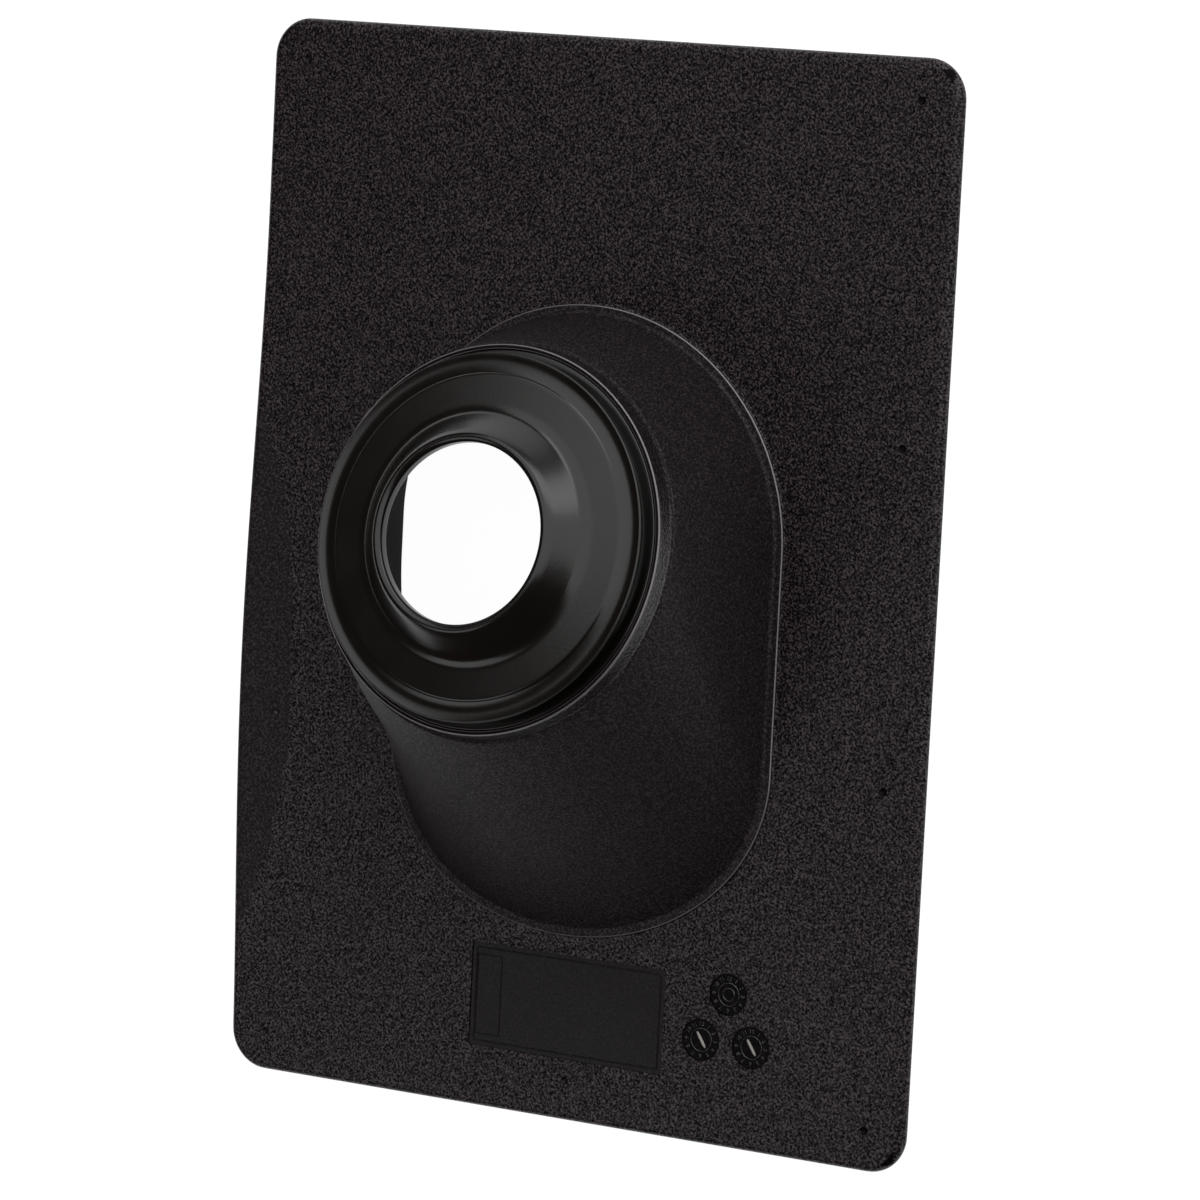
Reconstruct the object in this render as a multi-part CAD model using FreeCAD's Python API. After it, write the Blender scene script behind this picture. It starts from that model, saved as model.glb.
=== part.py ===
import FreeCAD, Part
import math
import os

Vector = FreeCAD.Vector

# Flashing for a vent pipe, lying flat: X across the roof, Y up the slope, Z out of the roof.
# The origin is the middle of the plane that the turned-down rim stands on. Millimetres.

# Sheet
sheet_width = 235.0
sheet_length = 324.0
sheet_wall = 2.0
sheet_corner_radius = 12.0
rim_drop = 1.0
rim_width = 2.2
rim_round = 2.4
sheet_top = rim_drop + sheet_wall

# Axis of the neck and the collar, leaning up the slope
axis_tilt = 11.1
axis_foot_y = 6.4

# Hole for the pipe: the radii of collar, neck and hood all follow from it
hole_radius = 26.4
nozzle_reach = 10.4
web_reach = 10.6
band_width = 6.8
flange_reach = 1.5
seat_width = 6.7
rebate_rim = 1.35
neck_draft = 0.95
shoulder_ledge = 0.8
foot_spread = 6.4
kink_radius = hole_radius + nozzle_reach
web_end_radius = kink_radius + web_reach
band_radius = web_end_radius + band_width
rebate_radius = band_radius + flange_reach
seat_opening_radius = rebate_radius - seat_width
neck_top_radius = rebate_radius + rebate_rim
neck_foot_radius = neck_top_radius + neck_draft
shoulder_radius = neck_foot_radius + shoulder_ledge
foot_radius = shoulder_radius + foot_spread

# Heights along the axis from the sheet's top face: neck and collar follow from the hood's shoulder
shoulder_height = 50.6
neck_rise = 5.7
rebate_depth = 1.5
band_rise = 5.7
web_end_rise = 6.1
kink_rise = 6.6
lip_rise = 14.1
neck_top_height = shoulder_height + neck_rise
seat_height = neck_top_height - rebate_depth
band_height = neck_top_height + band_rise
web_end_height = neck_top_height + web_end_rise
kink_height = neck_top_height + kink_rise
lip_height = neck_top_height + lip_rise

# Hood: a slot shaped foot on a low step, drawn in to a round shoulder. The foot's lower end is half
# an ellipse, shallower than half a circle by its cut.
foot_upper_offset = 8.9
foot_lower_offset = 56.2
foot_end_cut = 12.0
foot_upper_y = axis_foot_y + foot_upper_offset
foot_lower_y = axis_foot_y - foot_lower_offset
foot_fillet = 1.2
hood_wall = 1.8
mouth_chamfer = 2.0
step_height = 1.0
step_reach = 2.7
step_chamfer = 0.5
side_arc = 8.0

# Neck, with a rebate and a seat flange inside that carry the collar
neck_edge_chamfer = 0.3
neck_wall = 1.8
seat_wall = 2.2

# Collar: flange, raised band with a shallow channel, web, nozzle with a full round lip, skirt and
# retaining lip
flange_gap = 0.3
flange_edge_round = 0.3
skirt_gap = 0.2
retainer_gap = 0.1
band_undercut = 2.4
band_edge_reach = 0.6
channel_depth = 0.6
channel_start = 0.4
web_edge_reach = 0.25
kink_reach = 3.0
web_wall = 2.9
hole_length = 2.0
lip_radius = 1.6
skirt_wall = 3.4
retainer_reach = 2.6
retainer_depth = 3.1
retainer_edge = 0.9

# Smooth label panel, set below the hood
label_width = 67.0
label_length = 31.5
label_x = 2.2
label_gap = 6.1
recess_depth = 0.4

# Three round date dials beside the label panel
dial_radius = 6.25
dial_ring_radius = 9.8
dial_gap = 21.6
dial_rise = 1.7
pointer_length = 5.6
pointer_width = 0.9
pointer_height = 0.3
pointer_angle = -57.0
hub_radius = 2.9
hub_line = 0.5

# Nail marks: small dimples near the edges
mark_radius = 1.2
mark_depth = 0.7
mark_side_inset = 12.8
mark_end_inset = 12.3
top_mark_x = -5.1
bottom_mark_x = 3.0


def rounded_plate(width, length, radius, bottom, height):
    """Flat plate with four round corners, centred on the origin."""
    plate = Part.makeBox(width, length, height, Vector(-width / 2, -length / 2, bottom))
    corners = [edge for edge in plate.Edges if abs(edge.Length - height) < 1e-6 and is_upright(edge)]
    return plate.makeFillet(radius, corners)


def is_upright(edge):
    """True for a straight edge that runs along Z."""
    start, end = edge.Vertexes[0].Point, edge.Vertexes[-1].Point
    return abs(start.x - end.x) < 1e-6 and abs(start.y - end.y) < 1e-6


def edges_at(shape, z):
    """Edges that lie wholly in the level plane at z."""
    return [edge for edge in shape.Edges
            if abs(edge.BoundBox.ZMin - z) < 1e-4 and abs(edge.BoundBox.ZMax - z) < 1e-4]


def on_axis(shape):
    """Copy of a shape built about +Z, leaned onto the axis of the neck."""
    leaned = shape.copy()
    leaned.Placement = FreeCAD.Placement(
        Vector(0, axis_foot_y, sheet_top),
        FreeCAD.Rotation(Vector(1, 0, 0), -axis_tilt))
    return leaned


def slot_wire(radius, upper_y, lower_y, z):
    """Slot outline: right side, upper end as half a circle, left side, lower end as half an ellipse."""
    right = Part.makeLine(Vector(radius, lower_y, z), Vector(radius, upper_y, z))
    upper = Part.Arc(Vector(radius, upper_y, z), Vector(0, upper_y + radius, z),
                     Vector(-radius, upper_y, z)).toShape()
    left = Part.makeLine(Vector(-radius, upper_y, z), Vector(-radius, lower_y, z))
    ellipse = Part.Ellipse(Vector(radius, lower_y, z), Vector(0, lower_y + radius - foot_end_cut, z),
                           Vector(0, lower_y, z))
    lower = Part.Arc(ellipse, math.pi, 2 * math.pi).toShape()
    return Part.Wire([right, upper, left, lower])


def shoulder_wire(radius, height):
    """Circle about the leaning axis, cut into arcs that answer the four parts of a slot."""
    def arc(start, end):
        points = [math.radians(angle) for angle in (start, (start + end) / 2, end)]
        return Part.Arc(*[Vector(radius * math.cos(a), radius * math.sin(a), height)
                          for a in points]).toShape()
    circle = Part.Wire([arc(-side_arc, side_arc), arc(side_arc, 180 - side_arc),
                        arc(180 - side_arc, 180 + side_arc), arc(180 + side_arc, 360 - side_arc)])
    return on_axis(circle)


def drawn_in(slot, circle):
    """Solid between a slot shaped foot and a round shoulder."""
    return Part.makeLoft([slot, circle], True, True)


def shoulder_point(side):
    """Point (y, z) where the hood's middle section meets the shoulder, up (1) or down (-1) the slope."""
    tilt = math.radians(axis_tilt)
    along = side * shoulder_radius
    y = axis_foot_y + shoulder_height * math.sin(tilt) + along * math.cos(tilt)
    z = sheet_top + shoulder_height * math.cos(tilt) - along * math.sin(tilt)
    return y, z


def inner_offset(reach, rise, depth):
    """How far the inner face of a sloping wall stands in from the outer one's foot, at a depth below it."""
    slope = math.atan2(reach, rise)
    return hood_wall / math.cos(slope) - depth * math.tan(slope)


def hood_outside():
    """Outer form of the hood, standing on its step."""
    foot_z = sheet_top + step_height
    foot = slot_wire(foot_radius, foot_upper_y, foot_lower_y, foot_z)
    return drawn_in(foot, shoulder_wire(shoulder_radius, shoulder_height))


def hood_inside():
    """Hollow of the hood: each wall is followed at its own slope, so that the wall keeps its thickness."""
    foot_z = sheet_top + step_height
    upper_y, upper_z = shoulder_point(1)
    lower_y, lower_z = shoulder_point(-1)
    middle_z = (upper_z + lower_z) / 2
    side = inner_offset(foot_radius - shoulder_radius, middle_z - foot_z, foot_z)
    upper = inner_offset(foot_upper_y + foot_radius - upper_y, upper_z - foot_z, foot_z)
    lower = inner_offset(lower_y - foot_lower_y + foot_radius - foot_end_cut, lower_z - foot_z, foot_z)
    radius = foot_radius - side
    top = foot_upper_y + foot_radius - upper - radius
    bottom = foot_lower_y - foot_radius + lower + radius
    return drawn_in(slot_wire(radius, top, bottom, 0.0),
                    shoulder_wire(neck_foot_radius - neck_wall, shoulder_height))


class Section:
    """Outline in the plane of the leaning axis, drawn as radius and height, then turned about the axis."""

    def __init__(self, radius, height):
        self.points = [Vector(radius, 0, height)]
        self.edges = []

    def line(self, radius, height):
        """Straight edge from the last point."""
        end = Vector(radius, 0, height)
        self.edges.append(Part.makeLine(self.points[-1], end))
        self.points.append(end)

    def arc(self, through, end):
        """Round edge from the last point, through one point to the next."""
        middle = Vector(through[0], 0, through[1])
        last = Vector(end[0], 0, end[1])
        self.edges.append(Part.Arc(self.points[-1], middle, last).toShape())
        self.points.append(last)

    def corner(self, radius, height, after, reach):
        """Round corner between the last point and the point after it: the arc starts and ends at a
        reach from the corner, and its centre lies on the line that halves the corner's angle."""
        corner = Vector(radius, 0, height)
        back = (self.points[-1] - corner).normalize()
        on = (Vector(after[0], 0, after[1]) - corner).normalize()
        half = back.getAngle(on) / 2
        depth = reach * (1 - math.sin(half)) / math.cos(half)
        start, middle = corner + back * reach, corner + (back + on).normalize() * depth
        end = corner + on * reach
        self.line(start.x, start.z)
        self.arc((middle.x, middle.z), (end.x, end.z))

    def turned(self):
        """Solid of the closed outline, leaned with its axis."""
        self.line(self.points[0].x, self.points[0].z)
        face = Part.Face(Part.Wire(self.edges))
        return on_axis(face.revolve(Vector(0, 0, 0), Vector(0, 0, 1), 360))


def neck_outside():
    """Short neck that rises from the hood's shoulder, with a broken top edge."""
    root = shoulder_height - 3.0
    section = Section(0.0, root)
    section.line(neck_foot_radius - 1.0, root)
    section.line(neck_foot_radius, shoulder_height)
    section.line(neck_top_radius, neck_top_height - neck_edge_chamfer)
    section.line(neck_top_radius - neck_edge_chamfer, neck_top_height)
    section.line(0.0, neck_top_height)
    return section.turned()


def neck_inside():
    """Hollow of the neck: the cavity under the seat, the seat's opening and the rebate on top."""
    overrun = 1.0
    cavity = neck_foot_radius - neck_wall
    section = Section(0.0, shoulder_height)
    section.line(cavity, shoulder_height)
    section.line(cavity, seat_height - seat_wall)
    section.line(seat_opening_radius, seat_height - seat_wall)
    section.line(seat_opening_radius, seat_height)
    section.line(rebate_radius, seat_height)
    section.line(rebate_radius, neck_top_height + overrun)
    section.line(0.0, neck_top_height + overrun)
    return section.turned()


def label_centre():
    """Centre of the label panel, set off from the lower end of the hood's step."""
    step_end = foot_lower_y - foot_radius + foot_end_cut - step_reach
    return label_x, step_end - label_gap - label_length / 2


def dial_centres():
    """Three dials on a ring, the first one nearest to the hood."""
    x, y = label_centre()
    x += label_width / 2 + dial_gap
    y += dial_rise
    angles = [math.radians(90 + 120 * index) for index in range(3)]
    return [(x + dial_ring_radius * math.cos(a), y + dial_ring_radius * math.sin(a)) for a in angles]


def mark_centres():
    """Nail marks: four down each side, and one near the middle of the top and of the bottom edge."""
    side = sheet_width / 2 - mark_side_inset
    end = sheet_length / 2 - mark_end_inset
    rows = [end - 2 * end * index / 3 for index in range(4)]
    places = [(x, y) for x in (-side, side) for y in rows]
    return places + [(top_mark_x, end), (bottom_mark_x, -end)]


def recesses():
    """Everything that is sunk into the sheet's top face."""
    x, y = label_centre()
    floor = sheet_top - recess_depth
    overrun = 1.0
    cuts = [Part.makeBox(label_width, label_length, recess_depth + overrun,
                         Vector(x - label_width / 2, y - label_length / 2, floor))]
    for x, y in dial_centres():
        cuts.append(Part.makeCylinder(dial_radius, recess_depth + overrun, Vector(x, y, floor)))
    for x, y in mark_centres():
        cuts.append(Part.makeCone(mark_radius / 4, mark_radius, mark_depth,
                                  Vector(x, y, sheet_top - mark_depth)))
    return cuts


def dial_faces():
    """Raised work on the dials' floors: a ring on the first, a pointer on each of the others."""
    floor = sheet_top - recess_depth
    first, *others = dial_centres()
    centre = Vector(first[0], first[1], floor)
    ring = Part.makeCylinder(hub_radius, pointer_height, centre)
    ring = ring.cut(Part.makeCylinder(hub_radius - hub_line, pointer_height, centre))
    pieces = [ring]
    for x, y in others:
        pointer = Part.makeBox(pointer_length, pointer_width, pointer_height,
                               Vector(-pointer_length / 2, -pointer_width / 2, 0))
        pointer.Placement = FreeCAD.Placement(Vector(x, y, floor),
                                              FreeCAD.Rotation(Vector(0, 0, 1), pointer_angle))
        pieces.append(pointer)
    return pieces


def sheet_body():
    """Sheet with a rounded outer edge, hollow underneath inside its turned-down rim."""
    plate = rounded_plate(sheet_width, sheet_length, sheet_corner_radius, 0.0, sheet_top)
    plate = plate.makeFillet(rim_round, edges_at(plate, sheet_top))
    hollow = rounded_plate(sheet_width - 2 * rim_width, sheet_length - 2 * rim_width,
                           sheet_corner_radius - rim_width, -1.0, 1.0 + rim_drop)
    return plate.cut(hollow)


def step_body():
    """Low step round the hood's foot, with a broken outer edge."""
    outline = slot_wire(foot_radius + step_reach, foot_upper_y, foot_lower_y, rim_drop)
    step = Part.Face(outline).extrude(Vector(0, 0, sheet_wall + step_height))
    return step.makeChamfer(step_chamfer, edges_at(step, sheet_top + step_height))


def base_flashing():
    """Sheet, step, hood and neck as one moulding."""
    body = sheet_body().fuse([step_body(), hood_outside(), neck_outside()]).removeSplitter()
    foot_z = sheet_top + step_height
    root = [edge for edge in edges_at(body, foot_z) if edge.BoundBox.XMax <= foot_radius + 1e-3
            and edge.BoundBox.XMin >= -foot_radius - 1e-3]
    body = body.makeFillet(foot_fillet, root)
    body = body.cut([hood_inside(), neck_inside()] + recesses())
    mouth = [edge for edge in edges_at(body, rim_drop) if edge.BoundBox.XMax < foot_radius + step_reach
             and edge.BoundBox.XMin > -foot_radius - step_reach]
    body = body.makeChamfer(mouth_chamfer, mouth)
    return body.fuse(dial_faces()).removeSplitter()


def pipe_collar():
    """Rubber collar, one turned section."""
    skirt_radius = seat_opening_radius - skirt_gap
    flange_radius = rebate_radius - flange_gap
    retainer_top = seat_height - seat_wall - retainer_gap
    lip_centre = hole_radius + lip_radius
    rise = math.atan2(lip_height - kink_height, kink_radius - lip_centre)
    flank_end = (lip_centre + lip_radius * math.sin(rise), lip_height + lip_radius * math.cos(rise))
    skirt_inner = skirt_radius - skirt_wall
    web_slope = (kink_height - web_end_height) / web_reach
    under_web = kink_height - web_slope * (skirt_inner - kink_radius) - web_wall
    under_kink = (kink_radius - web_wall * math.tan(rise / 2), kink_height - web_wall)
    retainer_foot = retainer_top - retainer_depth
    channel_end = (web_end_radius + channel_start, web_end_height - channel_start)
    channel_floor = ((band_radius + channel_end[0]) / 2, (band_height + channel_end[1]) / 2 - channel_depth)

    section = Section(skirt_radius, seat_height)
    section.line(flange_radius, seat_height)
    section.line(flange_radius, neck_top_height - flange_edge_round)
    section.line(flange_radius - flange_edge_round, neck_top_height)
    section.line(band_radius - band_undercut, neck_top_height)
    section.corner(band_radius, band_height, channel_floor, band_edge_reach)
    section.arc(channel_floor, channel_end)
    section.corner(web_end_radius, web_end_height, (kink_radius, kink_height), web_edge_reach)
    section.corner(kink_radius, kink_height, flank_end, kink_reach)
    section.line(*flank_end)
    section.arc((lip_centre - lip_radius * math.cos(rise), lip_height + lip_radius * math.sin(rise)),
                (hole_radius, lip_height))
    section.line(hole_radius, lip_height - hole_length)
    section.line(*under_kink)
    section.line(skirt_inner, under_web)
    section.line(skirt_inner, retainer_foot)
    section.line(skirt_radius, retainer_foot)
    section.line(skirt_radius + retainer_reach, retainer_top - retainer_edge)
    section.line(skirt_radius + retainer_reach, retainer_top)
    section.line(skirt_radius, retainer_top)
    return section.turned()


def main():
    os.makedirs("parts", exist_ok=True)
    for name, shape in (("base_flashing", base_flashing()), ("pipe_collar", pipe_collar())):
        shape.exportStep(f"parts/{name}.step")
        print(name, "valid", shape.isValid(), "solids", len(shape.Solids),
              "volume", round(shape.Volume), "box", shape.BoundBox)


main()
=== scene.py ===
# %% [markdown]
# # Flashing for a vent pipe
# A roof flashing is a plastic sheet with a leaning, hollow hood. A rubber collar on the hood's neck
# grips the pipe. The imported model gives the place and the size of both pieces, and this lesson gives
# them the surfaces that the real moulding shows.

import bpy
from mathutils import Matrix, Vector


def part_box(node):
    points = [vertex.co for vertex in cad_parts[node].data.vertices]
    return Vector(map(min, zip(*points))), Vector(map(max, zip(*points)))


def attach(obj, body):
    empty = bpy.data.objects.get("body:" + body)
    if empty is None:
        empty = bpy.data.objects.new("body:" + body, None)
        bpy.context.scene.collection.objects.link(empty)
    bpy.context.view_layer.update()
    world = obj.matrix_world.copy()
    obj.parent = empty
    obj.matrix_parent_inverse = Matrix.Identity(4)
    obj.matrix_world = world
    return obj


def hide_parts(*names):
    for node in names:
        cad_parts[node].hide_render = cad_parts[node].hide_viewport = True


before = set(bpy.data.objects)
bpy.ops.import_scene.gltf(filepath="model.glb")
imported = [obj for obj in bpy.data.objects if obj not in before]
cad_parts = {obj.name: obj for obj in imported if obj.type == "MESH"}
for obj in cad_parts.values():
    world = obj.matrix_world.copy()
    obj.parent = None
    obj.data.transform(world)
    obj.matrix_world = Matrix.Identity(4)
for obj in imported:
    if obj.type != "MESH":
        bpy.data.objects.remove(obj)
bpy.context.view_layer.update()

# %% Tools of the lesson
import math

import bpy
import numpy as np
from mathutils import Matrix, Quaternion, Vector

MM = 0.001
scene = bpy.context.scene
base_low, base_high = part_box("base_flashing")
print("sheet is", [round(side / MM, 1) for side in (base_high - base_low)[:2]], "mm")

# %% [markdown]
# ## Camera
# The picture was taken with a long lens, from the upper right of the sheet, so its sides stay
# nearly parallel. The camera's place and turn come from the sheet's edges and the collar's circles.
# A long lens at nearly two metres keeps the same small perspective.

# %% Camera
camera_data = bpy.data.cameras.new("long_lens")
camera_data.sensor_width = 36.0
camera_data.lens = 176.03
camera_data.clip_start = 0.1
camera_data.clip_end = 20.0
camera = bpy.data.objects.new("camera", camera_data)
camera.location = (0.8753, 0.2016, 1.4972)
camera.rotation_euler = [math.radians(angle) for angle in (-5.102, 30.463, 3.332)]
scene.collection.objects.link(camera)
scene.camera = camera
print("camera", tuple(camera.location))

# %% [markdown]
# ## Colours and nodes
# Colours are written as sRGB hex codes, as a colour picker shows them, and one function turns them
# into the linear values that a shader works with. A second small function adds a node with its
# settings and its links, so that each material reads like a list of what is on the surface.


# %% Colour and node helpers
def linear(code):
    """Linear RGBA of an sRGB hex code: each part is divided by 12.92 where dark, else raised to 2.4."""
    parts = [int(code[i:i + 2], 16) / 255 for i in (1, 3, 5)]
    return [p / 12.92 if p <= 0.04045 else ((p + 0.055) / 1.055) ** 2.4 for p in parts] + [1.0]


def add_node(tree, kind, inputs=None, **settings):
    """One node: its settings by name, its sockets filled with a value or linked to another socket."""
    node = tree.nodes.new(kind)
    for name, value in settings.items():
        setattr(node, name, value)
    for key, value in (inputs or {}).items():
        if isinstance(value, bpy.types.NodeSocket):
            tree.links.new(value, node.inputs[key])
        else:
            node.inputs[key].default_value = value
    return node


def new_material(name):
    """Empty node material with its output, ready for a shader."""
    material = bpy.data.materials.new(name)
    material.use_nodes = True
    material.node_tree.nodes.clear()
    return material, material.node_tree


print("mid grey #808080 is", round(linear("#808080")[0], 3), "in linear light")

# %% [markdown]
# ## Floor and light
# The flashing lies on pale paper under three soft boxes. Black plastic and rubber show little but what
# they mirror, so the boxes are placed by their mirror images: a wide one above, which lights the
# collar's right half, a low one behind it, which draws bright lines along the edges that face it, and
# a small one that only the lower sheet mirrors. What's between them stays dim. The paper also glows as
# far as the camera and mirrors see it, so it prints white and still takes a faint shadow.

# %% Floor
floor_half = 3.0
floor_mesh = bpy.data.meshes.new("floor")
floor_corners = [(x * floor_half, y * floor_half, 0) for x, y in ((-1, -1), (1, -1), (1, 1), (-1, 1))]
floor_mesh.from_pydata(floor_corners, [], [(0, 1, 2, 3)])
floor = bpy.data.objects.new("floor", floor_mesh)
scene.collection.objects.link(floor)

# White paper: prints white to the camera, and lights the black parts little.
paper, tree = new_material("white_paper")
matte = add_node(tree, "ShaderNodeBsdfDiffuse", {"Color": linear("#707070")})
glow = add_node(tree, "ShaderNodeEmission", {"Color": linear("#ffffff"), "Strength": 0.97})
ray = add_node(tree, "ShaderNodeLightPath")
is_camera, is_glossy, is_transmission = (
    ray.outputs[kind] for kind in ("Is Camera Ray", "Is Glossy Ray", "Is Transmission Ray"))
mirror = add_node(tree, "ShaderNodeMath", {0: is_glossy, 1: is_transmission}, operation="MAXIMUM")
straight = add_node(tree, "ShaderNodeMath", {0: is_camera, 1: mirror.outputs[0]}, operation="MAXIMUM")
seen = add_node(tree, "ShaderNodeMixShader", {0: straight.outputs[0]})
nothing = add_node(tree, "ShaderNodeEmission", {"Strength": 0.0})
tree.links.new(nothing.outputs[0], seen.inputs[1])
tree.links.new(glow.outputs[0], seen.inputs[2])
both = add_node(tree, "ShaderNodeAddShader", {0: matte.outputs[0], 1: seen.outputs[0]})
add_node(tree, "ShaderNodeOutputMaterial", {"Surface": both.outputs[0]})
floor_mesh.materials.append(paper)
print("floor", 2 * floor_half, "m wide")


# %% Lamps and surroundings
def softbox(name, direction, distance, width, height, radiance, roll=0.0, aim=(0.0, 0.0, 0.03)):
    """Rectangular soft lamp at a distance along a direction from its aim, level with X before the roll.

    Its power is pi times its area times its radiance, which is what a matte white face gives off.
    """
    data = bpy.data.lights.new(name, "AREA")
    data.shape = "RECTANGLE"
    data.size, data.size_y = width, height
    data.energy = math.pi * width * height * radiance
    lamp = bpy.data.objects.new(name, data)
    way = Vector(direction).normalized()
    side = Quaternion(way, math.radians(roll)) @ (Vector((1, 0, 0)) - way.x * way).normalized()
    lamp.matrix_world = Matrix.Translation(Vector(aim) + way * distance) @ \
        Matrix((side, way.cross(side), way)).transposed().to_4x4()
    scene.collection.objects.link(lamp)
    return lamp


softbox("key_softbox", (0.38, 0.56, 0.735), 1.7, 4.3, 2.9, 1.35, -9)
softbox("fill_softbox", (-0.44, -0.47, 0.765), 1.6, 0.9, 0.9, 1.25)
softbox("rim_softbox", (0.45, 0.85, 0.27), 1.6, 1.8, 0.45, 1.6)

world = bpy.data.worlds.new("studio")
world.use_nodes = True
world.node_tree.nodes["Background"].inputs["Color"].default_value = linear("#ffe0d8")
world.node_tree.nodes["Background"].inputs["Strength"].default_value = 0.06
scene.world = world
scene.view_settings.view_transform = "Standard"

# %% [markdown]
# ## Columns that run round the moulding
# Sheet, hood and neck are one moulding, so they are one closed surface here. It is a grid: columns
# run round the neck, and rows run from the rim, up over the hood, and back along the hollow inside.
# Each column knows three things: its direction from the middle of the hood's foot, how far up the
# straight part of the foot it starts, and its turn on the round neck. Columns stand closer together
# where they meet the sheet's round corners.

# %% Sizes of the moulding, in millimetres
sheet_half_x, sheet_half_y = base_high.x / MM, base_high.y / MM
sheet_top, underside = 3.0, 1.0
corner_radius = 12.0
rim_width, rim_round, rim_edge = 2.2, 2.4, 0.3
foot_low, foot_high, foot_radius = -49.8, 15.3, 65.2
end_cut = 12.0
step_radius = foot_radius + 2.7
step_top = 4.0
axis_tilt = math.radians(11.1)
axis_foot = np.array([0.0, 6.4, sheet_top])
axis = np.array([0.0, math.sin(axis_tilt), math.cos(axis_tilt)])
across = np.array([0.0, math.cos(axis_tilt), -math.sin(axis_tilt)])
shoulder_height, neck_height = 50.6, 56.3
shoulder_radius, neck_foot_radius, neck_rim_radius = 58.8, 58.0, 57.05
rebate_radius, seat_opening, neck_inner = 55.7, 49.0, 56.2
rebate_depth, seat_wall = 1.5, 2.2
seat_height = neck_height - rebate_depth
print("axis of the neck", axis.round(4))


# %% Columns
def crowded(count, places, width, gain):
    """Count values from 0 up to 1, closer together near some places.

    The density is 1 plus a bell curve of this width and gain at each place, and the values stand
    at equal steps of the density's running sum.
    """
    fine = np.linspace(0, 1, 4001)
    density = 1 + sum(gain * np.exp(-((fine - place) / width) ** 2) for place in places)
    total = np.concatenate([[0], np.cumsum((density[1:] + density[:-1]) / 2)])
    return np.interp(np.arange(count) / count, total / total[-1], fine)


side_arc = math.radians(8)
side_columns, end_columns = 44, 232
upper_corner = math.atan2(sheet_half_y - corner_radius - foot_high, sheet_half_x - corner_radius) / math.pi
lower_corner = math.atan2(sheet_half_y - corner_radius + foot_low, sheet_half_x - corner_radius) / math.pi
side = np.arange(side_columns) / side_columns
upper = crowded(end_columns, (upper_corner, 1 - upper_corner), 0.012, 5)
lower = crowded(end_columns, (lower_corner, 1 - lower_corner), 0.012, 5)

share = np.concatenate([side, np.ones(end_columns), 1 - side, np.zeros(end_columns)])
aim = np.concatenate([0 * side, math.pi * upper, math.pi + 0 * side, math.pi + math.pi * lower])
end_arc = math.pi - 2 * side_arc
turn = np.concatenate([(2 * side - 1) * side_arc, side_arc + end_arc * upper,
                       math.pi + (2 * side - 1) * side_arc, math.pi + side_arc + end_arc * lower])
columns = len(aim)
print("columns", columns)


# %% Outlines that a row can follow
def slot(radius, z, low=foot_low, high=foot_high):
    """Slot outline: straight sides, half a circle above, and half an ellipse below.

    A point lies out from the middle line by the radius times the cosine and sine of the column's
    direction. Below, the sine's radius is smaller by the end's cut, which makes the ellipse.
    """
    middle = low + share * (high - low)
    reach = np.where(np.sin(aim) < 0, radius - end_cut, radius)
    return np.stack([radius * np.cos(aim), middle + reach * np.sin(aim), np.full(columns, float(z))], 1)


def ring(radius, height):
    """Circle round the leaning axis: the foot, a height along the axis, and a radius at each turn."""
    out = np.cos(turn)[:, None] * np.array([1.0, 0, 0]) + np.sin(turn)[:, None] * across
    return axis_foot + height * axis + radius * out


def plate(inset, z):
    """The sheet's outline, drawn in by an inset.

    A line from the foot's middle line runs out along each column's direction. It meets a side or an
    end, whichever is nearer, or where that is past a corner's centre both ways, the corner's circle:
    the larger root of the distance at which the line is one radius from the centre.
    """
    half = np.array([sheet_half_x - inset, sheet_half_y - inset])
    radius = max(corner_radius - inset, 0.01)
    start = np.stack([0 * aim, foot_low + share * (foot_high - foot_low)], 1)
    way = np.stack([np.cos(aim), np.sin(aim)], 1)
    sign = np.where(way >= 0, 1.0, -1.0)
    reach = np.min((half * sign - start) / np.where(np.abs(way) < 1e-9, 1e-9 * sign, way), axis=1)
    hit = start + way * reach[:, None]
    centre = sign * (half - radius)
    away = start - centre
    along = np.sum(way * away, 1)
    root = np.sqrt(np.maximum(along ** 2 - np.sum(away ** 2, 1) + radius ** 2, 0)) - along
    in_corner = np.all(np.abs(hit) > half - radius, axis=1)
    hit = np.where(in_corner[:, None], start + way * root[:, None], hit)
    return np.column_stack([hit, np.full(columns, float(z))])


print("foot is", round(float(np.ptp(slot(foot_radius, 0)[:, 1])), 1), "mm long")


# %% [markdown]
# ## Rounded corners
# No edge of a moulding is truly sharp. Where two runs of the section meet, a small arc joins them.
# A rational quadratic curve gives an exact arc from three points, so one formula rounds the corner
# in every column at once, whatever angle the walls meet at.

# %% Rounding and straight runs
def rounded(before, corner, after, radius, rows):
    """Arc in the corner between two runs, for every column.

    The arc starts and ends at the radius times the tangent of half the turn from the corner. Between
    them a point is the mean of start, corner and end, weighted (1-t)^2, 2t(1-t)cos(half turn), t^2.
    """
    run_in = (corner - before) / np.linalg.norm(corner - before, axis=1, keepdims=True)
    run_out = (after - corner) / np.linalg.norm(after - corner, axis=1, keepdims=True)
    half = np.arccos(np.clip(np.sum(run_in * run_out, 1, keepdims=True), -1, 1)) / 2
    reach = radius * np.tan(half)
    t = np.linspace(0, 1, rows)[:, None, None]
    weights = (1 - t) ** 2, 2 * t * (1 - t) * np.cos(half), t ** 2
    points = corner - run_in * reach, corner, corner + run_out * reach
    return list(sum(w * p for w, p in zip(weights, points)) / sum(weights))


def between(first, last, rows):
    """Rows at equal steps between two rows, without the two themselves."""
    return [first + (last - first) * step / (rows + 1) for step in range(1, rows + 1)]


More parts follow.
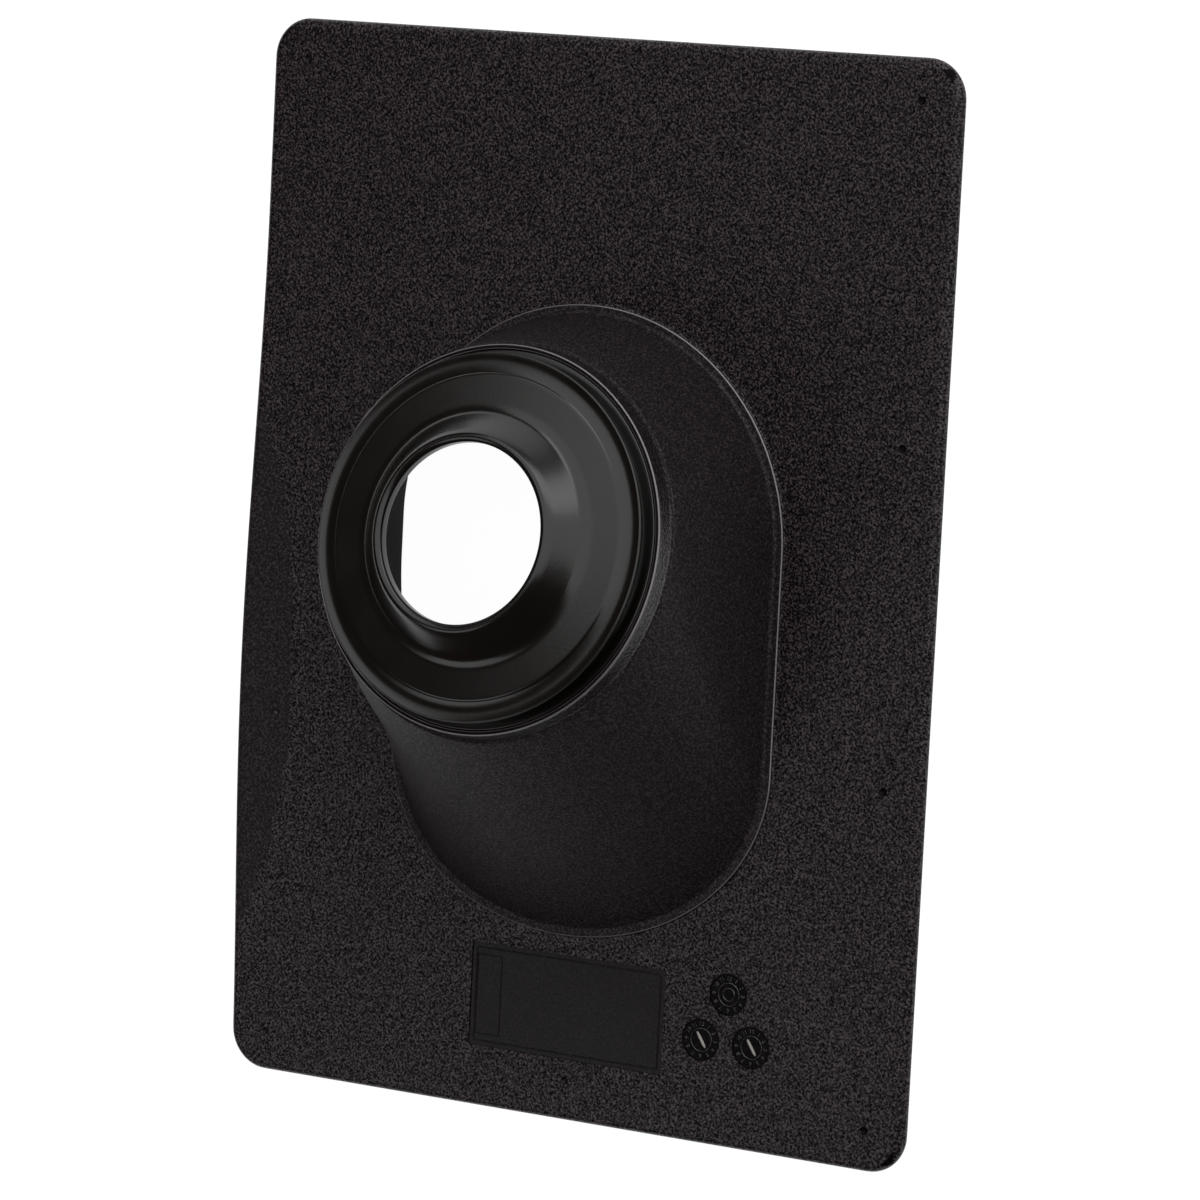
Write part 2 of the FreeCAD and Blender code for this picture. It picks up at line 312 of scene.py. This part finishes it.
def section(stations):
    """Rows of a section from its corners: (row, radius, rows in the arc, rows in the run before it)."""
    rows = []
    for index in range(1, len(stations) - 1):
        before, here, after = (stations[index + step][0] for step in (-1, 0, 1))
        _, radius, arc_rows, run_rows = stations[index]
        corner = rounded(before, here, after, radius, arc_rows) if radius else [here]
        start = rows[-1] if rows else stations[0][0]
        rows += between(start, corner[0], run_rows) + corner
    return rows


# %% Mesh from a closed grid
def grid_mesh(name, rows, shut_rows=True):
    """Mesh of a grid whose columns always close in a ring, and whose rows close too unless told not to."""
    points = np.stack(rows)
    count, around = points.shape[:2]
    index = np.arange(count * around).reshape(count, around)
    below = index if shut_rows else index[:-1]
    above = np.roll(index, -1, axis=0) if shut_rows else index[1:]
    quads = np.stack([below, np.roll(below, -1, 1), np.roll(above, -1, 1), above], -1).reshape(-1, 4)
    mesh = bpy.data.meshes.new(name)
    faces = quads.tolist()
    if not shut_rows:
        faces += [index[0][::-1].tolist(), index[-1].tolist()]
    mesh.from_pydata((points.reshape(-1, 3) * MM).tolist(), [], faces)
    mesh.update()
    return mesh


def new_object(name, mesh):
    """Object at the origin that shows a mesh."""
    piece = bpy.data.objects.new(name, mesh)
    scene.collection.objects.link(piece)
    return piece


# %% [markdown]
# ## Sheet, step, hood and neck
# The section starts under the rim, goes round the soft outer edge and across the sheet, up the low
# step and the hood's wall to the neck, over its seat, and back down the hollow. The hood's wall is
# ruled: straight lines join the slot shaped foot to the round shoulder, as a mould maker would cut it.

# %% Rows of the outside
rows = [plate(rim_width, 0)]
for angle in np.linspace(0, math.pi / 2, 4):
    rows.append(plate(rim_edge * (1 - math.sin(angle)), rim_edge * (1 - math.cos(angle))))
rim_start = sheet_top - rim_round
for angle in np.linspace(0, math.pi / 2, 10):
    rows.append(plate(rim_round * (1 - math.cos(angle)), rim_start + rim_round * math.sin(angle)))
around_step = slot(step_radius + 3.5, sheet_top)
rows += between(rows[-1], around_step, 26)

rows += section([
    (around_step, 0, 0, 0),
    (slot(step_radius + 0.15, sheet_top), 0.35, 4, 2),
    (slot(step_radius, step_top), 0.45, 6, 1),
    (slot(foot_radius, step_top), 1.2, 9, 2),
    (ring(shoulder_radius, shoulder_height), 0.5, 7, 30),
    (ring(neck_foot_radius, shoulder_height), 0.25, 4, 1),
    (ring(neck_rim_radius, neck_height), 0.4, 6, 4),
    (ring(rebate_radius, neck_height), 0.2, 4, 1),
    (ring(rebate_radius, seat_height), 0.1, 3, 1),
    (ring(seat_opening, seat_height), 0.2, 4, 3),
    (ring(seat_opening, seat_height - seat_wall), 0.2, 4, 1),
    (ring(neck_inner, seat_height - seat_wall), 0.8, 5, 3),
    (ring(neck_inner, shoulder_height), 0, 0, 1),
])
print("rows so far", len(rows))

# %% Rows of the hollow
inner_low, inner_high, inner_radius = -52.6, 15.5, 63.9
mouth_round = 2.0
inner_foot = slot(inner_radius, 0, inner_low, inner_high)
cavity_top = ring(neck_inner, shoulder_height)
drop = (underside - inner_foot[:, 2:]) / (cavity_top[:, 2:] - inner_foot[:, 2:])
mouth = inner_foot + (cavity_top - inner_foot) * drop
flat_start = plate(rim_width, underside)
mouth_rows = rounded(cavity_top, mouth, flat_start, mouth_round, 7)
rows += between(cavity_top, mouth_rows[0], 14) + mouth_rows
rows += between(mouth_rows[-1], flat_start, 10) + [flat_start]
moulding_mesh = grid_mesh("moulding", rows)
moulding = new_object("moulding", moulding_mesh)
print("moulding has", len(moulding_mesh.vertices), "points in", len(rows), "rows")

# %% [markdown]
# ## Places sunk into the sheet
# A smooth panel, three round date dials and ten nail marks are sunk a few tenths of a millimetre into
# the sheet's top. They don't follow the grid, so each gets a shallow plug with sloping sides, and one
# Boolean cut takes all the plugs out of the sheet.


# %% Plugs
def plug(outline, floor_z, slope=0.12, lip=1.0):
    """Closed plug: the outline at the floor, spread by a slope at the sheet's top and carried on above."""
    def level(spread, z):
        points = outline(spread)
        return np.column_stack([points, np.full(len(points), z)])
    return [level(0, floor_z), level(slope, sheet_top), level(slope, sheet_top + lip)]


def round_outline(x, y, radius, count=72):
    """Circle outline as a function of its spread."""
    angles = np.arange(count) / count * 2 * math.pi
    way = np.stack([np.cos(angles), np.sin(angles)], 1)
    return lambda spread: np.array([x, y]) + (radius + spread) * way


def box_outline(x, y, half_x, half_y, corner, count=8):
    """Rectangle with round corners, as a function of its spread: four quarter circles and straight runs."""
    quarter = np.linspace(0, math.pi / 2, count)
    angles = np.concatenate([quarter + k * math.pi / 2 for k in range(4)])
    sides = np.repeat([[1, 1], [-1, 1], [-1, -1], [1, -1]], count, axis=0)
    centres = np.array([x, y]) + sides * (np.array([half_x, half_y]) - corner)
    return lambda spread: centres + (corner + spread) * np.stack([np.cos(angles), np.sin(angles)], 1)


recess_floor = sheet_top - 0.4
panel_x, panel_y, panel_half_x, panel_half_y = 2.2, -127.55, 33.5, 15.75
dial_radius = 6.25
dials_x, dials_y, dials_ring = 57.3, -125.85, 9.8
dials = [(dials_x + dials_ring * math.cos(a), dials_y + dials_ring * math.sin(a))
         for a in np.radians([90, 210, 330])]
mark_x, mark_y = sheet_half_x - 12.8, sheet_half_y - 12.3
marks = [(x, y) for x in (-mark_x, mark_x) for y in np.linspace(mark_y, -mark_y, 4)]
marks += [(-5.1, mark_y), (3.0, -mark_y)]
plugs = [plug(box_outline(panel_x, panel_y, panel_half_x, panel_half_y, 0.8), recess_floor)]
plugs += [plug(round_outline(x, y, dial_radius), recess_floor) for x, y in dials]
print("dials at", [(round(x, 1), round(y, 1)) for x, y in dials])


# %% Nail marks
def mark_plug(x, y):
    """Small round dimple: circles whose radius grows as the square root of the height above its bottom."""
    depth, width = 0.7, 1.25
    angles = np.arange(24) / 24 * 2 * math.pi
    levels = []
    for lift in (0.02, 0.12, 0.35, 0.7, 1.0):
        radius = width * math.sqrt(lift)
        levels.append(np.column_stack([x + radius * np.cos(angles), y + radius * np.sin(angles),
                                       np.full(24, sheet_top - depth * (1 - lift))]))
    levels.append(levels[-1] + [0, 0, 0.8])
    return levels


plugs += [mark_plug(x, y) for x, y in marks]
plug_objects = [new_object(f"plug_{number}", grid_mesh(f"plug_{number}", levels, shut_rows=False))
                for number, levels in enumerate(plugs)]
print("plugs", len(plug_objects))


# %% Cut
def joined(name, objects):
    """One object from several, with the first one's place."""
    with bpy.context.temp_override(active_object=objects[0], selected_editable_objects=objects):
        bpy.ops.object.join()
    objects[0].name = name
    return objects[0]


def finished(piece):
    """Replaces a piece's mesh by what its modifiers make of it."""
    graph = bpy.context.evaluated_depsgraph_get()
    mesh = bpy.data.meshes.new_from_object(piece.evaluated_get(graph))
    piece.modifiers.clear()
    piece.data = mesh
    return mesh


plug_set = joined("plugs", plug_objects)
cut = moulding.modifiers.new("recesses", "BOOLEAN")
cut.operation = "DIFFERENCE"
cut.solver = "EXACT"
cut.object = plug_set
moulding_mesh = finished(moulding)
bpy.data.objects.remove(plug_set)
print("moulding after the cut", len(moulding_mesh.polygons), "faces")


# %% [markdown]
# ## A moulding that isn't quite true
# A wide, thin moulding cools unevenly and never comes out quite true. The left edge of this one bows
# out and lifts by a few millimetres, and the hood's left flank has drawn in. The finished points are
# moved by two smooth fields, so that the marks and the hollow follow.


# %% Warp
def eased(values, low, high):
    """0 up to the low value, 1 from the high one, and between them 3t^2 - 2t^3."""
    t = np.clip((values - low) / (high - low), 0, 1)
    return t * t * (3 - 2 * t)


def bell(values, middle, reach):
    """Squared cosine that is 1 at the middle and 0 from the reach on."""
    return np.cos(np.clip(np.abs(values - middle) / reach, 0, 1) * math.pi / 2) ** 2


def warped(points, bow=1.6, lift=2.6, draw=4.6):
    """Points moved by the warp: the left edge out and up, the hood's left flank in."""
    x, y, z = points.T
    edge = np.clip((-x - 72) / (sheet_half_x - 72), 0, 1) ** 2 * bell(y, -37, 145)
    flank = eased(-x, 15, 50) * (1 - eased(-x, 66, 112)) * bell(y, -52, 55) * (1 - eased(z, 36, 54))
    return points + edge[:, None] * np.array([-bow, 0, lift]) + flank[:, None] * np.array([draw, 0, 0])


points = np.zeros(len(moulding_mesh.vertices) * 3)
moulding_mesh.vertices.foreach_get("co", points)
points = warped(points.reshape(-1, 3) / MM)
moulding_mesh.vertices.foreach_set("co", (points * MM).ravel())
moulding_mesh.update()
print("left edge now at", round(float(points[:, 0].min()), 1), "mm")


# %% [markdown]
# ## Raised lines and figures
# The panel keeps a thin raised frame with an empty field. The mould's date dials leave a circle, the
# numbers 1 to 12 and a pointer. Each line is a half round ridge: a small arc carried along its outline.

# %% Ridges
def ridge(outline, width, height, floor_z):
    """Half round ridge along an outline, closed underneath.

    Its section is half an ellipse: the spread is half the width times a cosine, the lift the height
    times a sine, and a last point below the floor shuts it.
    """
    section_angles = np.linspace(0, math.pi, 7)
    levels = [(math.cos(a) * width / 2, height * math.sin(a)) for a in section_angles]
    levels += [(-width / 2, -0.1), (width / 2, -0.1)]
    made = []
    for spread, lift in levels:
        points = outline(spread)
        made.append(np.column_stack([points, np.full(len(points), floor_z + lift)]))
    return made


frame_inset = 1.5
field_x, field_half_x, field_inset = -25.2, 4.2, 3.6
frame_outline = box_outline(panel_x, panel_y, panel_half_x - frame_inset, panel_half_y - frame_inset, 0.6)
field_outline = box_outline(field_x, panel_y, field_half_x, panel_half_y - field_inset, 0.5)
panel_lines = [ridge(frame_outline, 0.5, 0.22, recess_floor), ridge(field_outline, 0.4, 0.18, recess_floor)]
panel_frame = joined("panel_frame", [new_object(f"line_{n}", grid_mesh(f"line_{n}", levels))
                                     for n, levels in enumerate(panel_lines)])
print("panel frame", len(panel_frame.data.polygons), "faces")


# %% Pointers
def pointer(x, y, angle, length=5.6, width=0.95, height=0.38):
    """Raised bar with a half round back and round ends.

    Along the bar the section shrinks as the square root of 1 minus the fourth power of the place,
    and across it the height follows half an ellipse.
    """
    along = np.sin(np.linspace(-math.pi / 2, math.pi / 2, 25)[1:-1])
    shrink = (1 - along ** 4) ** 0.5
    angles = np.concatenate([np.linspace(0, math.pi, 9), [math.pi, 0]])
    drop = np.concatenate([np.zeros(9), [-0.1, -0.1]])
    local_x = along[:, None] * length / 2 + 0 * angles
    local_y = shrink[:, None] * np.cos(angles) * width / 2
    local_z = shrink[:, None] * np.sin(angles) * height * (drop == 0) + drop
    c, s = math.cos(angle), math.sin(angle)
    return list(np.stack([x + c * local_x - s * local_y, y + s * local_x + c * local_y,
                          recess_floor + local_z], -1))


# %% Dial figures
def figures(x, y, radius, size, height=0.14):
    """Numbers 1 to 12 round a dial, each turned to stand outwards, as one list of mesh objects."""
    made = []
    for number in range(1, 13):
        data = bpy.data.curves.new("figure", "FONT")
        data.body = str(number)
        data.size = size * MM
        data.extrude = height * MM
        data.align_x = data.align_y = "CENTER"
        text = bpy.data.objects.new("figure", data)
        scene.collection.objects.link(text)
        graph = bpy.context.evaluated_depsgraph_get()
        mesh = bpy.data.meshes.new_from_object(text.evaluated_get(graph))
        bpy.data.objects.remove(text)
        points = np.zeros(len(mesh.vertices) * 3)
        mesh.vertices.foreach_get("co", points)
        points = points.reshape(-1, 3) / MM
        angle = math.radians(90 - 30 * number)
        c, s = math.sin(angle), -math.cos(angle)
        turned = np.stack([c * points[:, 0] - s * points[:, 1], s * points[:, 0] + c * points[:, 1]], 1)
        place = np.array([x + radius * math.cos(angle), y + radius * math.sin(angle)])
        points = np.column_stack([turned + place, points[:, 2] + recess_floor])
        mesh.vertices.foreach_set("co", (points * MM).ravel())
        made.append(new_object(f"figure_{number}", mesh))
    return made


dial_pieces, pointers = [], []
for number, (x, y) in enumerate(dials, 1):
    parts = figures(x, y, 4.75, 1.75)
    inner = round_outline(x, y, 3.45)
    parts.append(new_object("circle", grid_mesh("circle", ridge(inner, 0.35, 0.15, recess_floor))))
    if number == 1:
        hub = round_outline(x, y, 1.9)
        parts.append(new_object("hub", grid_mesh("hub", ridge(hub, 0.4, 0.2, recess_floor))))
    else:
        levels = pointer(x, y, math.radians(-57))
        pointers.append(new_object(f"dial_pointer_{number}", grid_mesh(f"dial_pointer_{number}", levels,
                                                                       shut_rows=False)))
    dial_pieces.append(joined(f"date_dial_{number}", parts))
print("dial faces", [len(piece.data.polygons) for piece in dial_pieces])

# %% [markdown]
# ## Rubber collar
# The collar is turned: one section goes once round the leaning axis. The section holds the flange on
# its seat, the round bead, the shallow web, the nozzle with its full round lip, and the skirt with
# the lip that holds the collar in the neck.

# %% Section of the collar
collar_columns = 320
flange_radius, hole_radius, hole_length = 55.4, 26.4, 2.0
skirt_radius, skirt_inner, skirt_end = 48.8, 45.4, 49.4
retainer_radius, retainer_low, retainer_high = 51.4, 51.6, 52.5
undercut, web_wall, skirt_top = 2.4, 2.9, 59.5
band_edge, web_end, kink = (54.2, neck_height + 5.7), (47.4, neck_height + 6.1), (36.8, neck_height + 6.6)
channel_end, channel_depth = (47.8, neck_height + 5.7), 0.6
lip_centre, lip_radius = (28.0, neck_height + 14.1), 1.6


def arc_points(centre, radius, start, end, count):
    """Points on a circle, as (radius, height) pairs, at equal steps of angle."""
    angles = np.radians(np.linspace(start, end, count))
    return np.stack([centre[0] + radius * np.cos(angles), centre[1] + radius * np.sin(angles)], 1)


def profile(corners):
    """Closed section from (radius, height, rounding, points in the arc, points in the run before it)."""
    flat = [np.array([[r, h]]) for r, h, *_ in corners]
    ringed = [flat[-1]] + flat + [flat[0]]
    stations = [(p, *corner[2:]) for p, corner in zip(ringed[1:-1], corners)]
    return section([(ringed[0], 0, 0, 0)] + stations + [(ringed[-1], 0, 0, 0)])


across_channel = np.linspace(-0.7, 0.95, 22)
channel_middle, channel_half = (band_edge[0] + channel_end[0]) / 2, (band_edge[0] - channel_end[0]) / 2
channel = np.stack([channel_middle - across_channel * channel_half,
                    band_edge[1] - channel_depth * (1 - across_channel ** 2)], 1)
rise = math.atan2(lip_centre[1] - kink[1], kink[0] - lip_centre[0])
lip = arc_points(lip_centre, lip_radius, 90 - math.degrees(rise), 180, 22)
collar_corners = [
    (skirt_radius, seat_height, 0.1, 3, 2),
    (flange_radius, seat_height, 0.2, 4, 4),
    (flange_radius, neck_height, 0.35, 5, 1),
    (band_edge[0] - undercut, neck_height, 0.1, 3, 2),
    (*band_edge, 0.45, 12, 3),
]
collar_corners += [(r, h, 0, 0, 0) for r, h in channel]
collar_corners += [
    (*web_end, 1.1, 8, 1),
    (*kink, 5.0, 12, 10),
]
collar_corners += [(r, h, 0, 0, 3 if n == 0 else 0) for n, (r, h) in enumerate(lip)]
collar_corners += [
    (hole_radius, lip_centre[1] - hole_length, 0.4, 4, 2),
    (kink[0] - 1.07, kink[1] - web_wall, 1.5, 6, 6),
    (skirt_inner, skirt_top, 1.5, 6, 6),
    (skirt_inner, skirt_end, 0.3, 4, 5),
    (skirt_radius, skirt_end, 0.3, 4, 2),
    (retainer_radius, retainer_low, 0.3, 4, 2),
    (retainer_radius, retainer_high, 0.2, 4, 1),
    (skirt_radius, retainer_high, 0.1, 3, 2),
]
collar_profile = np.concatenate(profile(collar_corners))
print("collar section has", len(collar_profile), "points")

# %% Turn the section
collar_turn = np.arange(collar_columns) / collar_columns * 2 * math.pi
out = np.cos(collar_turn)[:, None] * np.array([1.0, 0, 0]) + np.sin(collar_turn)[:, None] * across
collar_rows = [axis_foot + height * axis + radius * out for radius, height in collar_profile]
collar = new_object("rubber_collar", grid_mesh("rubber_collar", collar_rows))
print("collar has", len(collar.data.vertices), "points")

# %% [markdown]
# ## Moulded polypropylene
# The sheet is black polypropylene, injection moulded against an etched mould. The etching leaves a
# fine pebble grain, under a millimetre across, which breaks the gloss into small specks. On the hood
# the draw of the mould has flattened the grain, so it looks even and dull. The panel and the dials come
# from polished steel, so they are smooth and dark. The neck is rubbed shinier. A pale, glossy colour
# paints a highlight along its rim's edges and the step's edge at the hood's foot, and the dials'
# pointers are painted light grey as a highlight. The black isn't pure: it is slightly warm.


# %% Polypropylene
grain_size, cloud_size = 0.70, 26.0
pits, peaks = 0.34, 0.67


def polypropylene(name, grain_depth, speck, roughness, level, shade):
    """Black polypropylene with a pebble grain: its depth in millimetres, how strong its specks are, 0 to 1,
    how much it mirrors, and the shade between the specks.

    Painted shade lies in the pits of the grain and a painted highlight on its tops, so both the colour and
    the amount of gloss follow the grain's height. The noise is turned, because a flat sheet that lies along
    its lattice would show the lattice.
    """
    material, tree = new_material(name)
    place = add_node(tree, "ShaderNodeTexCoord").outputs["Object"]
    turned = add_node(tree, "ShaderNodeMapping", {"Vector": place, "Rotation": (0.6, 0.4, 0.9)})
    fine = add_node(tree, "ShaderNodeTexNoise", {
        "Vector": turned.outputs[0], "Scale": 1 / (grain_size * MM), "Detail": 1.0, "Roughness": 0.6})
    cloudy = add_node(tree, "ShaderNodeTexNoise", {
        "Vector": place, "Scale": 1 / (cloud_size * MM), "Detail": 4.0})
    # The ramp paints shade into the grain's pits and a highlight onto its tops.
    tone = add_node(tree, "ShaderNodeValToRGB", {"Fac": fine.outputs["Fac"]})
    ramp = tone.color_ramp
    ramp.elements[0].position, ramp.elements[0].color = pits, linear("#040304")
    ramp.elements[1].position, ramp.elements[1].color = peaks, linear("#42383c")
    ramp.elements.new(0.50).color = linear("#130e10")
    darker = [0.7 * part for part in linear(shade)[:3]] + [1.0]
    plain = add_node(tree, "ShaderNodeMix", {0: cloudy.outputs["Fac"], 6: darker, 7: linear(shade)},
                     data_type="RGBA")
    mixed = add_node(tree, "ShaderNodeMix", {0: speck, 6: plain.outputs[2], 7: tone.outputs["Color"]},
                     data_type="RGBA")
    tops = add_node(tree, "ShaderNodeMapRange", {
        "Value": fine.outputs["Fac"], "From Min": pits, "From Max": peaks,
        "To Min": level * (1 - 0.9 * speck), "To Max": level * (1 + speck)})
    bump = add_node(tree, "ShaderNodeBump", {
        "Height": fine.outputs["Fac"], "Distance": grain_depth * MM, "Strength": 1.0})
    gloss = add_node(tree, "ShaderNodeMapRange", {
        "Value": cloudy.outputs["Fac"], "To Min": roughness - 0.05, "To Max": roughness + 0.07})
    shader = add_node(tree, "ShaderNodeBsdfPrincipled", {
        "Base Color": mixed.outputs[2], "Roughness": gloss.outputs[0], "Normal": bump.outputs[0],
        "Specular IOR Level": tops.outputs[0], "IOR": 1.49})
    add_node(tree, "ShaderNodeOutputMaterial", {"Surface": shader.outputs[0]})
    return material


# Etched grain of the sheet: a satin black that sparkles in fine specks.
grained = polypropylene("grained_polypropylene", 0.16, 0.9, 0.37, 0.27, "#110e0f")
# The hood's flattened grain: an even, dull dark grey.
drawn = polypropylene("drawn_grain_polypropylene", 0.09, 0.5, 0.50, 0.19, "#201d1d")
# Polished steel's print on the panel: smooth and quiet.
polished = polypropylene("polished_polypropylene", 0.01, 0.1, 0.24, 0.15, "#110e0f")
# The hollow and the seat: so dull that they stay in shade.
dull = polypropylene("dull_hollow_polypropylene", 0.02, 0.1, 0.65, 0.06, "#110e0f")
# Handled parts, the neck and the dials' figures: a clear gloss.
rubbed = polypropylene("rubbed_edge_polypropylene", 0.10, 0.4, 0.22, 0.70, "#151213")
# The dials' floors: the deepest black, so the figures stand out.
blackened = polypropylene("blackened_dial_polypropylene", 0.01, 0.1, 0.30, 0.04, "#080707")
# The dials' pointers: light grey bars, a painted highlight on their ridges.
painted_pointer_highlight = polypropylene("painted_highlight_pointer_polypropylene", 0.01, 0.0, 0.25, 0.60, "#9a9691")
# Step and neck rim edges: a painted highlight, a thin bright line.
painted_edge_highlight = polypropylene("painted_highlight_edge_polypropylene", 0.02, 0.05, 0.18, 1.0, "#6e6a6b")
finishes = (grained, drawn, polished, dull, rubbed, blackened, painted_edge_highlight)
print("materials", [finish.name for finish in finishes + (painted_pointer_highlight,)])

# %% Which faces have which finish
centres = np.zeros(len(moulding_mesh.polygons) * 3)
normals = np.zeros(len(moulding_mesh.polygons) * 3)
moulding_mesh.polygons.foreach_get("center", centres)
moulding_mesh.polygons.foreach_get("normal", normals)
centres, normals = centres.reshape(-1, 3) / MM, normals.reshape(-1, 3)
from_axis = centres - axis_foot
along_axis = from_axis @ axis
off_axis = np.linalg.norm(from_axis - along_axis[:, None] * axis, axis=1)
hollow = (normals[:, 2] < -0.05) | ((off_axis < neck_rim_radius - 0.05) & (along_axis > 40))
sunk = (centres[:, 2] < sheet_top - 0.02) & (np.abs(centres[:, 0]) < sheet_half_x - 3) \
    & (np.abs(centres[:, 1]) < sheet_half_y - 3) & (centres[:, 2] > underside + 0.5)
on_hood = (centres[:, 2] > step_top - 0.02) & (along_axis < shoulder_height + 0.3)
on_neck = along_axis >= shoulder_height + 0.3
on_step = (centres[:, 2] > sheet_top + 0.55) & (centres[:, 2] < step_top - 0.02) \
    & (np.abs(centres[:, 0]) < step_radius + 12)
rim_middle = (rebate_radius + neck_rim_radius) / 2 + 0.025
rim_edges = (along_axis > neck_height - 0.35) & (off_axis > rebate_radius - 0.2) \
    & (np.abs(off_axis - rim_middle) > 0.35)
moulding_mesh.materials.clear()
for finish in finishes:
    moulding_mesh.materials.append(finish)
# Index 6 is the painted highlight: the step's faces and the neck rim's edges get a pale glossy colour.
masks = [on_step | rim_edges, hollow, sunk & (centres[:, 0] > 45), sunk, on_neck, on_hood]
index = np.select(masks, [6, 3, 5, 2, 4, 1], 0)
moulding_mesh.polygons.foreach_set("material_index", index.astype(np.int32))
print("faces per finish", np.bincount(index).tolist())

# %% [markdown]
# ## Moulded rubber
# The collar is soft black rubber, pressed in a smooth mould. It is darker than the plastic and has a
# satin gloss that shows the boxes with soft edges, a faint cloudy bloom and a very fine texture.

# %% Rubber
# Pressed rubber: deep black with broad, soft-edged gloss.
rubber, tree = new_material("pressed_rubber")
place = add_node(tree, "ShaderNodeTexCoord").outputs["Object"]
bloom = add_node(tree, "ShaderNodeTexNoise", {"Vector": place, "Scale": 1 / (14 * MM), "Detail": 5.0})
dust = add_node(tree, "ShaderNodeTexNoise", {"Vector": place, "Scale": 1 / (0.8 * MM), "Detail": 2.0})
tone = add_node(tree, "ShaderNodeValToRGB", {"Fac": bloom.outputs["Fac"]})
tone.color_ramp.elements[0].color, tone.color_ramp.elements[0].position = linear("#080705"), 0.35
tone.color_ramp.elements[1].color, tone.color_ramp.elements[1].position = linear("#0c0b0a"), 0.7
bump = add_node(tree, "ShaderNodeBump", {
    "Height": dust.outputs["Fac"], "Distance": 0.012 * MM, "Strength": 1.0})
gloss = add_node(tree, "ShaderNodeMapRange", {
    "Value": bloom.outputs["Fac"], "To Min": 0.17, "To Max": 0.24})
shader = add_node(tree, "ShaderNodeBsdfPrincipled", {
    "Base Color": tone.outputs["Color"], "Roughness": gloss.outputs[0], "Normal": bump.outputs[0],
    "IOR": 1.52})
add_node(tree, "ShaderNodeOutputMaterial", {"Surface": shader.outputs[0]})
print("material", rubber.name)


# %% Give each piece its finish
def dress(piece, material, node=None, sharp=38):
    """Smooth shading with sharp edges above an angle, a material, and the piece's place in the frame."""
    if material is not None:
        piece.data.materials.clear()
        piece.data.materials.append(material)
    piece.data.shade_smooth()
    piece.data.set_sharp_from_angle(angle=math.radians(sharp))
    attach(piece, "root")
    if node:
        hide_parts(node)


dress(moulding, None, "base_flashing")
dress(panel_frame, polished)
for piece in dial_pieces:
    dress(piece, rubbed)
# The pointers get the painted highlight colour.
for piece in pointers:
    dress(piece, painted_pointer_highlight)
dress(collar, rubber, "pipe_collar")
